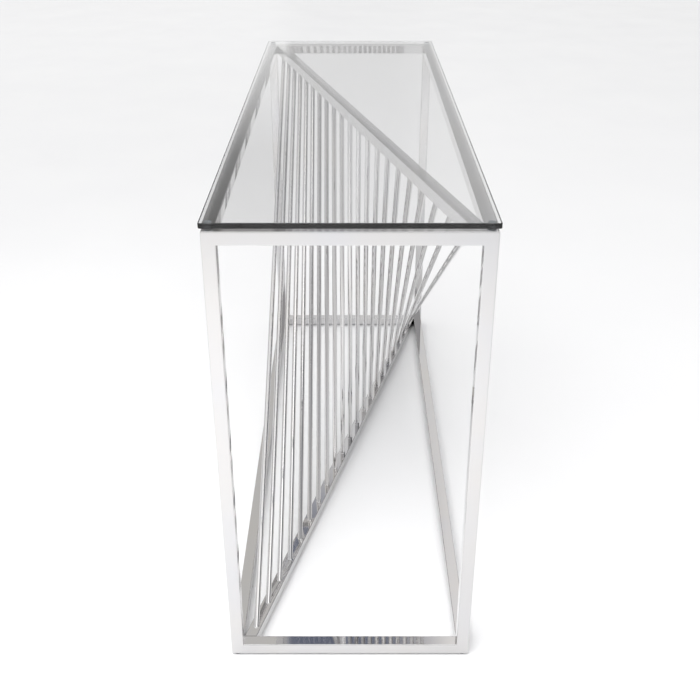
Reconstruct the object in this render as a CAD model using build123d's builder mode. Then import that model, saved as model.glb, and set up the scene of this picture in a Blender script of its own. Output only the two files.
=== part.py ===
"""Console table: a box frame of square tube, two crossed diagonal bars joined by leaning rods, a glass top.

Millimetres. +X runs along the table's length, +Y from its front to its back, +Z up.
The origin is on the floor, under the middle of the table.
"""

import os
from math import acos, atan2, cos, hypot, sin, tan

from build123d import *

os.makedirs("parts", exist_ok=True)

# Driving dimensions
table_length = 1200
table_depth = 400
table_height = 780

glass_thickness = 8
glass_overhang = 2  # the plate stands this far past the frame all round
glass_corner_radius = 3
glass_arris = 0.8  # the ground flat along the plate's edges

tube_size = 20  # square tube of the frame and of both diagonal bars
tube_wall = 1.2
tube_edge_radius = 1.5

rod_diameter = 9.5
rod_wall = 1.0
rod_count = 21
rod_spacing = 16  # from one rod to the next, across the table's depth

bumper_diameter = 12  # clear bumpers between the frame and the glass
bumper_height = 5
bumper_edge_radius = 1.2

glide_diameter = 16  # flat glides under the frame's corners
glide_height = 3
glide_chamfer = 0.6

# Sizes that follow from them
frame_half_length = table_length / 2 - glass_overhang
frame_half_depth = table_depth / 2 - glass_overhang
frame_bottom = glide_height
frame_top = table_height - glass_thickness - bumper_height

tube_bore = tube_size - 2 * tube_wall
tube_bore_radius = tube_edge_radius - tube_wall

# A diagonal bar ends flat on the inner faces of two end rails, with one of its sides on the inner
# corner of the frame. Its angle from +X solves  inner_depth * cos - inner_length * sin = half a tube.
inner_half_length = frame_half_length - tube_size
inner_half_depth = frame_half_depth - tube_size
bar_angle = acos(tube_size / 2 / hypot(inner_half_length, inner_half_depth)) - atan2(
    inner_half_length, inner_half_depth
)

rod_foot = frame_bottom + tube_size  # rods stand on the bottom bar's upper face
rod_head = frame_top - tube_size  # and end on the top bar's lower face

# The middle of each corner's square, where the bumpers and the glides sit
corner_x = frame_half_length - tube_size / 2
corner_y = frame_half_depth - tube_size / 2

side_names_x = {-1: "left", 1: "right"}
side_names_y = {-1: "front", 1: "back"}
level_names = {-1: "bottom", 1: "top"}


def save(piece, label):
    """Labels a finished piece and writes it to its own file."""
    piece.part.label = label
    export_step(piece.part, f"parts/{label}.step")


def outer_corner(signs):
    """An outer corner of the box frame, from the sign of each of its three coordinates."""
    height = frame_top if signs[2] > 0 else frame_bottom
    return Vector(signs[0] * frame_half_length, signs[1] * frame_half_depth, height)


def frame_tube(start_signs, end_signs):
    """A tube of the box frame between two outer corners, mitred to both of its neighbours at each end."""
    start = outer_corner(start_signs)
    end = outer_corner(end_signs)
    run = (end - start).normalized()
    units = (Vector(1, 0, 0), Vector(0, 1, 0), Vector(0, 0, 1))
    inward = [unit * -sign for unit, sign, other in zip(units, start_signs, end_signs) if sign == other]
    with BuildPart() as piece:
        axis_start = start + (inward[0] + inward[1]) * (tube_size / 2)
        with BuildSketch(Plane(origin=axis_start, x_dir=inward[0], z_dir=run)):
            RectangleRounded(tube_size, tube_size, tube_edge_radius)
            RectangleRounded(tube_bore, tube_bore, tube_bore_radius, mode=Mode.SUBTRACT)
        extrude(amount=(end - start).length)
        for corner, along in ((start, run), (end, -run)):
            for side in inward:
                split(bisect_by=Plane(origin=corner, z_dir=along - side), keep=Keep.TOP)
    return piece


def diagonal_bar(angle, underside):
    """A bar of square tube across the frame, turned by an angle from +X and cut flat at both end rails."""
    along = Vector(cos(angle), sin(angle), 0)
    across = Vector(-sin(angle), cos(angle), 0)
    middle = Vector(0, 0, underside + tube_size / 2)
    reach = frame_half_length / cos(angle)
    with BuildPart() as piece:
        with BuildSketch(Plane(origin=middle, x_dir=across, z_dir=along)):
            RectangleRounded(tube_size, tube_size, tube_edge_radius)
            RectangleRounded(tube_bore, tube_bore, tube_bore_radius, mode=Mode.SUBTRACT)
        extrude(amount=reach, both=True)
        split(bisect_by=Plane.YZ.offset(inner_half_length), keep=Keep.BOTTOM)
        split(bisect_by=Plane.YZ.offset(-inner_half_length), keep=Keep.TOP)
    return piece


def leaning_rod(depth):
    """A rod in the plane Y = depth, from the bottom bar to the top bar, with both ends cut level."""
    lean = depth / tan(bar_angle)
    foot = Vector(-lean, depth, rod_foot)
    head = Vector(lean, depth, rod_head)
    middle = (foot + head) / 2
    with BuildPart() as piece:
        with BuildSketch(Plane(origin=middle, z_dir=head - foot)):
            Circle(rod_diameter / 2)
            Circle(rod_diameter / 2 - rod_wall, mode=Mode.SUBTRACT)
        extrude(amount=(head - foot).length / 2 + 2 * rod_diameter, both=True)
        split(bisect_by=Plane.XY.offset(rod_foot), keep=Keep.TOP)
        split(bisect_by=Plane.XY.offset(rod_head), keep=Keep.BOTTOM)
    return piece


# Frame: the legs, then the rails along X and along Y at the bottom and the top
for x, x_name in side_names_x.items():
    for y, y_name in side_names_y.items():
        save(frame_tube((x, y, -1), (x, y, 1)), f"leg_{y_name}_{x_name}")

for z, level in level_names.items():
    for y, y_name in side_names_y.items():
        save(frame_tube((-1, y, z), (1, y, z)), f"{level}_rail_{y_name}")
    for x, x_name in side_names_x.items():
        save(frame_tube((x, -1, z), (x, 1, z)), f"{level}_rail_{x_name}")

# The bars cross: the bottom one runs from front right to back left, the top one the other way
save(diagonal_bar(-bar_angle, frame_bottom), "bottom_diagonal_bar")
save(diagonal_bar(bar_angle, frame_top - tube_size), "top_diagonal_bar")

# Rods, numbered from the front to the back
for number in range(rod_count):
    depth = (number - (rod_count - 1) / 2) * rod_spacing
    save(leaning_rod(depth), f"rod_{number + 1:02d}")

# Bumpers on the top corners and glides under the bottom ones
for x, x_name in side_names_x.items():
    for y, y_name in side_names_y.items():
        with BuildPart() as bumper:
            with BuildSketch(Plane.XY.offset(frame_top)):
                with Locations((x * corner_x, y * corner_y)):
                    Circle(bumper_diameter / 2)
            extrude(amount=bumper_height)
            fillet(bumper.faces().sort_by(Axis.Z)[-1].edges(), bumper_edge_radius)
        save(bumper, f"bumper_{y_name}_{x_name}")

        with BuildPart() as glide:
            with BuildSketch(Plane.XY):
                with Locations((x * corner_x, y * corner_y)):
                    Circle(glide_diameter / 2)
            extrude(amount=glide_height)
            chamfer(glide.faces().sort_by(Axis.Z)[0].edges(), glide_chamfer)
        save(glide, f"glide_{y_name}_{x_name}")

# Glass plate, lying loose on the bumpers
with BuildPart() as glass_top:
    with BuildSketch(Plane.XY.offset(table_height - glass_thickness)):
        RectangleRounded(table_length, table_depth, glass_corner_radius)
    extrude(amount=glass_thickness)
    chamfer(glass_top.faces().sort_by(Axis.Z)[0].edges(), glass_arris)
    chamfer(glass_top.faces().sort_by(Axis.Z)[-1].edges(), glass_arris)
save(glass_top, "glass_top")
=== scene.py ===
"""A console table: mirror-polished stainless box frame, a fan of leaning rods and a clear glass top.

Metres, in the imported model's own frame: +X along the table, +Y from its front to its back, +Z up.
"""

from math import acos, atan2, hypot, radians, tan

import bmesh
import bpy
from mathutils import Matrix, Vector


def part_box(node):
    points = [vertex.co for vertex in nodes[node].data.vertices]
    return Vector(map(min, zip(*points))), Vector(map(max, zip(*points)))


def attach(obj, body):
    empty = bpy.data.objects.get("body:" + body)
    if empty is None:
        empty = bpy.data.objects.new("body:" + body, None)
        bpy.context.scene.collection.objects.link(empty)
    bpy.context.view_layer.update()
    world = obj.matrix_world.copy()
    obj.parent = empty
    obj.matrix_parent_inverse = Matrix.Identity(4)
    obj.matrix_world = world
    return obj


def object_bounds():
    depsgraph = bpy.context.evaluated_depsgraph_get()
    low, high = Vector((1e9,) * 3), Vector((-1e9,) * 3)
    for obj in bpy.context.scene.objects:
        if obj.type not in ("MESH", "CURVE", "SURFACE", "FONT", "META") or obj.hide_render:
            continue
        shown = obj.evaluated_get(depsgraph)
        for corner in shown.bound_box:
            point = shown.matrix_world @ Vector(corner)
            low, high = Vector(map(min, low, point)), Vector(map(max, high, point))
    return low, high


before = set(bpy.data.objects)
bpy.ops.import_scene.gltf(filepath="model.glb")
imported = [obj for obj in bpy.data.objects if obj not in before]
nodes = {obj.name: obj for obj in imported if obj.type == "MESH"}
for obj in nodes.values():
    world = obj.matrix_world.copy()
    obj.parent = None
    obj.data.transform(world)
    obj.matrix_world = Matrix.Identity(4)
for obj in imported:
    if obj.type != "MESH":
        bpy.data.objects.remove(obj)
cad_low, cad_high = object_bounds()

MM = 0.001


# ---------------------------------------------------------------- helpers for materials


def linear(hex_colour):
    """An sRGB hex colour as the linear RGBA that Blender's sockets take."""
    channels = [int(hex_colour[i : i + 2], 16) / 255 for i in (1, 3, 5)]
    return [c / 12.92 if c <= 0.04045 else ((c + 0.055) / 1.055) ** 2.4 for c in channels] + [1.0]


def add(tree, kind, settings=None, *values, **named):
    """Adds a node. Settings are its own properties; the rest are its inputs, in order or by name.

    An input is a value, a socket, or a node, which stands for its first output.
    """
    made = tree.nodes.new("ShaderNode" + kind)
    for name, value in (settings or {}).items():
        setattr(made, name, value)
    sockets = [socket for socket in made.inputs if socket.enabled]
    by_name = {socket.name.replace(" ", "_"): socket for socket in reversed(sockets)}
    for socket, value in [*zip(sockets, values), *((by_name[name], value) for name, value in named.items())]:
        if isinstance(value, bpy.types.Node):
            value = next(output for output in value.outputs if output.enabled)
        if isinstance(value, bpy.types.NodeSocket):
            tree.links.new(value, socket)
        else:
            socket.default_value = value
    return made


def new_material(name):
    """An empty node material, and its tree."""
    material = bpy.data.materials.new(name)
    material.use_nodes = True
    material.node_tree.nodes.clear()
    return material, material.node_tree


def show(tree, shader, volume=None):
    """Sends a shader, and a volume if there is one, to the material's output."""
    output = add(tree, "OutputMaterial", Surface=shader)
    if volume is not None:
        tree.links.new(volume.outputs["Volume"], output.inputs["Volume"])


# ---------------------------------------------------------------- materials


def polished_steel(tree, place, wave, wave_depth, drawn, roughness):
    """Mirror-polished stainless steel. place is where its waves are read, and drawn where its lines are."""
    # Thin metal that has been welded and buffed is never quite flat, so what it mirrors wavers a little
    waves = add(tree, "TexNoise", Vector=place, Scale=1 / wave, Detail=1.0, Roughness=0.4)
    lines = add(tree, "TexNoise", Vector=drawn, Scale=1.0, Detail=2.0, Roughness=0.6)
    # The steel is a trace warmer in some places than in others
    cloud = add(tree, "TexNoise", Vector=place, Scale=1 / (110 * MM), Detail=2.0)
    tint = add(tree, "Mix", {"data_type": "RGBA"}, Factor=cloud, A=linear("#CDCED2"), B=linear("#D3D0CC"))
    haze = add(
        tree, "MapRange",
        Value=lines, From_Min=0.3, From_Max=0.75, To_Min=roughness[0], To_Max=roughness[1],
    )
    uneven = add(tree, "Bump", Height=waves, Strength=1.0, Distance=wave_depth)
    show(tree, add(tree, "BsdfPrincipled", Base_Color=tint, Metallic=1.0, Roughness=haze, Normal=uneven))


def polished_tube(name, turn=0.0, upright=False):
    """Stainless steel tube, 304 grade, welded, ground and mirror-polished on a buffing wheel.

    It mirrors the room sharply. The buff ran along the tube, and leaves faint hazy lines that way.
    turn is the tube's angle from +X, and upright is for the legs.
    """
    material, tree = new_material(name)
    place = add(tree, "TexCoord").outputs["Object"]
    # Buffing lines are a few hundredths of a millimetre wide: drawn at 1.5 mm, so that they show at all
    across, along = 1 / (1.5 * MM), 1 / (300 * MM)
    turned = add(tree, "Mapping", Vector=place, Rotation=(0.0, 0.0, -turn))
    stretch = (across, across, along) if upright else (along, across, across)
    drawn = add(tree, "Mapping", Vector=turned, Scale=stretch)
    polished_steel(tree, place, 90 * MM, 0.025 * MM, drawn, (0.015, 0.04))
    return material


def polished_rod(lean_rate, middle_height):
    """Stainless steel rod, bright drawn and polished.

    Drawing leaves fine lines along the rod. They are read where space is sheared back to stand every rod
    upright: lean_rate is a rod's run along X over its rise, for each metre of its place along Y.
    """
    material, tree = new_material("bright_drawn_stainless_rod")
    place = add(tree, "TexCoord").outputs["Object"]
    split = add(tree, "SeparateXYZ", None, place)
    rise = add(tree, "Math", {"operation": "SUBTRACT"}, split.outputs["Z"], middle_height)
    lean = add(tree, "Math", {"operation": "MULTIPLY"}, split.outputs["Y"], rise)
    straight = add(tree, "Math", {"operation": "MULTIPLY_ADD"}, lean, -lean_rate, split.outputs["X"])
    upright = add(tree, "CombineXYZ", None, straight, split.outputs["Y"], split.outputs["Z"])
    # Drawing lines are finer than a tenth of a millimetre: drawn at 0.8 mm, so that they show
    across, along = 1 / (0.8 * MM), 1 / (250 * MM)
    drawn = add(tree, "Mapping", Vector=upright, Scale=(across, across, along))
    polished_steel(tree, place, 90 * MM, 0.003 * MM, drawn, (0.01, 0.03))
    return material


def polished_weld():
    """A TIG weld bead, blended and polished over: the same steel, with a softer, rippled shine."""
    material, tree = new_material("polished_tig_weld")
    place = add(tree, "TexCoord").outputs["Object"]
    ripples = add(tree, "Mapping", Vector=place, Scale=(1 / (0.9 * MM),) * 3)
    polished_steel(tree, place, 4 * MM, 0.12 * MM, ripples, (0.07, 0.16))
    return material


def toughened_glass():
    """Clear toughened float glass, 8 mm, with polished edges.

    It is clear through its thickness, but its iron absorbs most of the light that goes along the plate, so
    the edges look dark.
    """
    material, tree = new_material("toughened_float_glass")
    coordinates = add(tree, "TexCoord")
    facing = add(tree, "SeparateXYZ", None, coordinates.outputs["Normal"])
    level = add(tree, "Math", {"operation": "ABSOLUTE"}, facing.outputs["Z"])
    # The edges are a little less smooth than the float faces, and the faces have faint wipe marks
    wipes = add(
        tree, "TexNoise",
        Vector=coordinates.outputs["Object"], Scale=1 / (90 * MM), Detail=3.0, Roughness=0.6,
    )
    smears = add(tree, "MapRange", Value=wipes, From_Min=0.45, From_Max=0.8, To_Min=0.0, To_Max=0.012)
    haze = add(tree, "Mix", {"data_type": "FLOAT"}, Factor=level, A=0.02, B=smears)
    clear = add(
        tree, "BsdfPrincipled",
        Base_Color=linear("#FEFEFE"), Roughness=haze, IOR=1.52, Transmission_Weight=1.0,
    )
    iron = add(tree, "VolumeAbsorption", Color=linear("#7F8384"), Density=4.2)
    # Lamplight goes straight through to the floor, so the plate casts the faint shadow that glass does
    path = add(tree, "LightPath")
    unbent = add(tree, "BsdfTransparent", None, linear("#E6E8E8"))
    plate = add(tree, "MixShader", None, path.outputs["Is Shadow Ray"], clear, unbent)
    show(tree, plate, iron)
    return material


def clear_silicone():
    """Moulded clear silicone: water-clear but soft-surfaced, so what is behind it blurs."""
    material, tree = new_material("moulded_clear_silicone")
    place = add(tree, "TexCoord").outputs["Object"]
    bloom = add(tree, "TexNoise", Vector=place, Scale=1 / (1.5 * MM), Detail=2.0)
    haze = add(tree, "MapRange", Value=bloom, To_Min=0.12, To_Max=0.3)
    skin = add(tree, "Bump", Height=bloom, Strength=0.3, Distance=0.1 * MM)
    silicone = add(
        tree, "BsdfPrincipled",
        Base_Color=linear("#EEF1F4"), Roughness=haze, IOR=1.41, Transmission_Weight=0.92, Normal=skin,
    )
    show(tree, silicone)
    return material


def moulded_nylon():
    """Injection-moulded grey nylon with a fine spark-eroded texture."""
    material, tree = new_material("moulded_grey_nylon")
    place = add(tree, "TexCoord").outputs["Object"]
    grain = add(tree, "TexNoise", Vector=place, Scale=1 / (0.4 * MM), Detail=3.0)
    cloud = add(tree, "TexNoise", Vector=place, Scale=1 / (6 * MM), Detail=2.0)
    tone = add(tree, "Mix", {"data_type": "RGBA"}, Factor=cloud, A=linear("#6E7173"), B=linear("#85888A"))
    sheen = add(tree, "MapRange", Value=grain, To_Min=0.42, To_Max=0.6)
    texture = add(tree, "Bump", Height=grain, Strength=0.4, Distance=0.05 * MM)
    show(tree, add(tree, "BsdfPrincipled", Base_Color=tone, Roughness=sheen, IOR=1.53, Normal=texture))
    return material


def painted_floor():
    """The studio floor: white satin paint, rolled on, with a faint soft reflection."""
    material, tree = new_material("white_satin_floor_paint")
    place = add(tree, "TexCoord").outputs["Object"]
    patches = add(tree, "TexNoise", Vector=place, Scale=1 / (350 * MM), Detail=3.0)
    tone = add(tree, "Mix", {"data_type": "RGBA"}, Factor=patches, A=linear("#F3F3F4"), B=linear("#F6F6F6"))
    sheen = add(tree, "MapRange", Value=patches, To_Min=0.2, To_Max=0.27)
    show(tree, add(tree, "BsdfPrincipled", Base_Color=tone, Roughness=sheen))
    return material


# ---------------------------------------------------------------- the CAD pieces' finishes


def paint(material, *names):
    """Gives CAD nodes a material, in every slot that they have."""
    for name in names:
        for place in nodes[name].material_slots:
            place.material = material


# The diagonal bars run between the end rails, each with one side on the frame's inner corners, so their
# angle from +X solves  inner_depth * cos - inner_length * sin = half a tube
front_rail_low, front_rail_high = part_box("top_rail_front")
tube_size = front_rail_high.z - front_rail_low.z
inner_half_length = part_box("top_rail_right")[0].x
inner_half_depth = -front_rail_high.y
bar_angle = acos(tube_size / 2 / hypot(inner_half_length, inner_half_depth)) - atan2(
    inner_half_length, inner_half_depth
)

# Each rod stands in its own plane along X, so the further it is from the middle, the more it leans
rod_names = sorted(name for name in nodes if name.startswith("rod_"))
upright_low, upright_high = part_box(rod_names[len(rod_names) // 2])
rod_radius = (upright_high.y - upright_low.y) / 2
rod_foot, rod_head = upright_low.z, upright_high.z
rod_rise = rod_head - rod_foot
lean_rate = 2 / tan(bar_angle) / rod_rise  # a rod's lean (its run over its rise), per metre along Y

along_x = polished_tube("mirror_polished_tube_along_x")
along_y = polished_tube("mirror_polished_tube_along_y", turn=radians(90))
upright = polished_tube("mirror_polished_tube_upright", upright=True)
paint(upright, *(name for name in nodes if name.startswith("leg_")))
for level in ("bottom", "top"):
    paint(along_x, f"{level}_rail_front", f"{level}_rail_back")
    paint(along_y, f"{level}_rail_left", f"{level}_rail_right")
paint(polished_tube("mirror_polished_top_bar", turn=bar_angle), "top_diagonal_bar")
paint(polished_tube("mirror_polished_bottom_bar", turn=-bar_angle), "bottom_diagonal_bar")
paint(polished_rod(lean_rate, (rod_foot + rod_head) / 2), *rod_names)
paint(toughened_glass(), "glass_top")
paint(clear_silicone(), *(name for name in nodes if name.startswith("bumper_")))
paint(moulded_nylon(), *(name for name in nodes if name.startswith("glide_")))


# ---------------------------------------------------------------- welds at the rods' ends


def weld_rings(name, up, material):
    """Small coved weld beads, one around each rod's end, as one piece.

    up is 1 for the rods' feet, which stand on the bottom bar, and -1 for their heads, under the top bar.
    """
    bead = 0.6 * MM  # how far the bead spreads over the bar, and how far it climbs the rod
    root = 0.4 * MM  # how deep it is sunk into the bar and the rod, so that no gap shows
    ring_steps = 28
    # The cove's profile, as distances out from the rod and up it: from its root in the bar, over the bead,
    # and back inside the rod's wall
    profile = (
        (bead * 0.9, -root),
        (bead, 0.0),
        (bead * 0.55, bead * 0.2),
        (bead * 0.2, bead * 0.55),
        (0.0, bead),
        (-root, bead),
        (-root, -root),
    )
    rings = bmesh.new()
    placed = set()
    for rod in rod_names:
        corners = [rings.verts.new((rod_radius + out, 0, height)) for out, height in profile]
        outline = [rings.edges.new(pair) for pair in zip(corners, corners[1:] + corners[:1])]
        bmesh.ops.spin(
            rings, geom=corners + outline,
            axis=(0, 0, 1), angle=radians(360), steps=ring_steps, use_merge=True,
        )
        ring = [vertex for vertex in rings.verts if vertex not in placed]
        # From an upright rod's ring to this one's: stretched along X as the rod's level cut is, and leaning
        rod_low, rod_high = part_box(rod)
        depth = (rod_low.y + rod_high.y) / 2
        lean = lean_rate * depth
        place = Matrix((
            (hypot(lean, 1), 0, up * lean, -up * lean * rod_rise / 2),
            (0, 1, 0, depth),
            (0, 0, up, rod_foot if up > 0 else rod_head),
            (0, 0, 0, 1),
        ))
        bmesh.ops.transform(rings, matrix=place, verts=ring)
        placed.update(ring)
    bmesh.ops.recalc_face_normals(rings, faces=rings.faces)
    for face in rings.faces:
        face.smooth = True
    mesh = bpy.data.meshes.new(name)
    rings.to_mesh(mesh)
    rings.free()
    mesh.materials.append(material)
    piece = bpy.data.objects.new(name, mesh)
    bpy.context.scene.collection.objects.link(piece)
    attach(piece, "frame")


weld = polished_weld()
weld_rings("rod_foot_welds", 1, weld)
weld_rings("rod_head_welds", -1, weld)


# ---------------------------------------------------------------- studio


def studio_floor(half_size):
    """A plain pale floor under the table."""
    grid = bmesh.new()
    bmesh.ops.create_grid(grid, x_segments=1, y_segments=1, size=half_size)
    mesh = bpy.data.meshes.new("studio_floor")
    grid.to_mesh(mesh)
    grid.free()
    mesh.materials.append(painted_floor())
    floor = bpy.data.objects.new("studio_floor", mesh)
    bpy.context.scene.collection.objects.link(floor)


def soft_light(name, place, target, size, power):
    """A square soft box at a place, aimed at a target. It lights without showing in steel or glass."""
    data = bpy.data.lights.new(name, "AREA")
    data.shape = "SQUARE"
    data.size = size
    data.energy = power
    light = bpy.data.objects.new(name, data)
    light.location = place
    light.rotation_euler = (Vector(target) - Vector(place)).to_track_quat("-Z", "Y").to_euler()
    light.visible_glossy = False
    light.visible_transmission = False
    bpy.context.scene.collection.objects.link(light)


def room_side(tree, height, *stops):
    """One side of the room, as its brightness from the floor up.

    Stops are pairs of a height, as the sine of its angle above the floor, and a linear grey or colour.
    """
    ramp = add(tree, "ValToRGB", None, height)
    for place, shade in stops[1:-1]:
        ramp.color_ramp.elements.new(place)
    for element, (place, shade) in zip(ramp.color_ramp.elements, stops):
        element.position = place
        element.color = (*shade, 1.0) if isinstance(shade, tuple) else (shade, shade, shade, 1.0)
    return ramp


def studio_room():
    """The room that the steel and the glass mirror: pale low down, with a soft box overhead."""
    world = bpy.data.worlds.new("studio")
    world.use_nodes = True
    tree = world.node_tree
    tree.nodes.clear()
    direction = add(tree, "SeparateXYZ", None, add(tree, "TexCoord").outputs["Generated"])
    depth = direction.outputs["Y"]
    height = direction.outputs["Z"]

    # Before the table the room is pale. Behind it only its foot is, and the dark above draws lines down
    # the rods
    before = room_side(
        tree, height,
        (0.0, 0.9),
        (0.2, 0.88),
        (0.5, (0.78, 0.78, 0.79)),
        (0.8, 0.85),
    )
    behind = room_side(
        tree, height,
        (0.0, 0.9),
        (0.14, (0.86, 0.86, 0.87)),
        (0.3, (0.4, 0.4, 0.41)),
        (0.5, (0.13, 0.13, 0.14)),
        (0.8, (0.1, 0.1, 0.12)),
    )
    at_back = add(tree, "MapRange", Value=depth, From_Min=-0.15, From_Max=0.15)
    sides = add(tree, "Mix", {"data_type": "RGBA"}, Factor=at_back, A=before, B=behind)

    # A bearing is the cosine of an angle round the room from +X. The room is light grey beyond the table's
    # right end, to about 45 degrees each side of +X
    flat = add(tree, "CombineXYZ", None, direction.outputs["X"], depth, 0.0)
    bearing = add(tree, "SeparateXYZ", None, add(tree, "VectorMath", {"operation": "NORMALIZE"}, flat))
    right_end = room_side(
        tree, height,
        (0.0, 0.9),
        (0.14, (0.86, 0.86, 0.87)),
        (0.3, (0.72, 0.72, 0.73)),
        (0.5, (0.62, 0.62, 0.63)),
        (0.8, (0.55, 0.56, 0.58)),
    )
    at_right_end = add(tree, "MapRange", Value=bearing, From_Min=0.6, From_Max=0.8)
    walls = add(tree, "Mix", {"data_type": "RGBA"}, Factor=at_right_end, A=sides, B=right_end)

    # Beyond its left end, to about 35 degrees each side of -X, is a tall wall in three strips: a warm pale
    # front, a narrow middle that turns navy high up, and a pale back. All three are darker half way up
    wall_front = room_side(
        tree, height,
        (0.0, 0.9),
        (0.12, 0.95),
        (0.2, 0.9),
        (0.3, 0.33),
        (0.38, 0.2),
        (0.46, (0.72, 0.71, 0.69)),
    )
    wall_middle = room_side(
        tree, height,
        (0.0, 0.9),
        (0.12, 0.8),
        (0.2, 0.62),
        (0.38, (0.45, 0.45, 0.46)),
        (0.44, 0.85),
        (0.58, (0.85, 0.85, 0.86)),
        (0.66, (0.17, 0.19, 0.26)),
    )
    wall_back = room_side(
        tree, height,
        (0.0, 0.9),
        (0.12, 0.82),
        (0.2, 0.7),
        (0.38, 0.6),
        (0.46, (0.88, 0.87, 0.86)),
        (0.7, (1.04, 1.02, 1.01)),
    )
    front_edge = add(tree, "MapRange", Value=depth, From_Min=-0.068, From_Max=-0.06)
    back_edge = add(tree, "MapRange", Value=depth, From_Min=0.04, From_Max=0.1)
    front_half = add(tree, "Mix", {"data_type": "RGBA"}, Factor=front_edge, A=wall_front, B=wall_middle)
    left_end = add(tree, "Mix", {"data_type": "RGBA"}, Factor=back_edge, A=front_half, B=wall_back)
    at_left_end = add(tree, "MapRange", Value=bearing, From_Min=-0.78, From_Max=-0.86)
    walls = add(tree, "Mix", {"data_type": "RGBA"}, Factor=at_left_end, A=walls, B=left_end)

    # The soft box covers everything from about 50 degrees up. It is brightest where it hangs over the
    # table's right end, and dimmest straight overhead
    over_table = room_side(tree, height, (0.0, 1.4), (0.9, 1.4), (0.97, 1.15))
    over_right_end = room_side(tree, height, (0.0, 2.0), (0.91, 2.0), (0.97, 1.15))
    soft_box = add(tree, "Mix", {"data_type": "RGBA"}, Factor=at_right_end, A=over_table, B=over_right_end)
    overhead = add(tree, "MapRange", Value=height, From_Min=0.755, From_Max=0.8)
    seen = add(tree, "Mix", {"data_type": "RGBA"}, Factor=overhead, A=walls, B=soft_box)
    add(tree, "OutputWorld", Surface=add(tree, "Background", Color=seen))
    bpy.context.scene.world = world


def camera():
    """The camera, beyond the table's right end and above it, looking back along its length."""
    data = bpy.data.cameras.new("camera")
    data.sensor_width = 36
    data.lens = 48
    data.shift_y = -0.07
    data.clip_end = 100
    made = bpy.data.objects.new("camera", data)
    beyond_end = 1.135
    above_top = 0.455
    look_down = radians(26.6)
    made.location = (cad_high.x + beyond_end, 0.0, cad_high.z + above_top)
    made.rotation_euler = (radians(90) - look_down, 0.0, radians(90))
    bpy.context.scene.collection.objects.link(made)
    bpy.context.scene.camera = made


studio_floor(half_size=30)
studio_room()
soft_light("before_the_table", place=(1.5, -0.4, 1.7), target=(1.5, -0.3, 0), size=1.4, power=25)
soft_light("over_the_table", place=(-1.0, -2.5, 6.0), target=(-1.0, -1.0, 0), size=6.0, power=73)
soft_light("over_the_far_floor", place=(-8.0, 0.0, 4.5), target=(-9.0, 0, 0), size=6.0, power=15)
camera()
bpy.context.scene.view_settings.view_transform = "Standard"
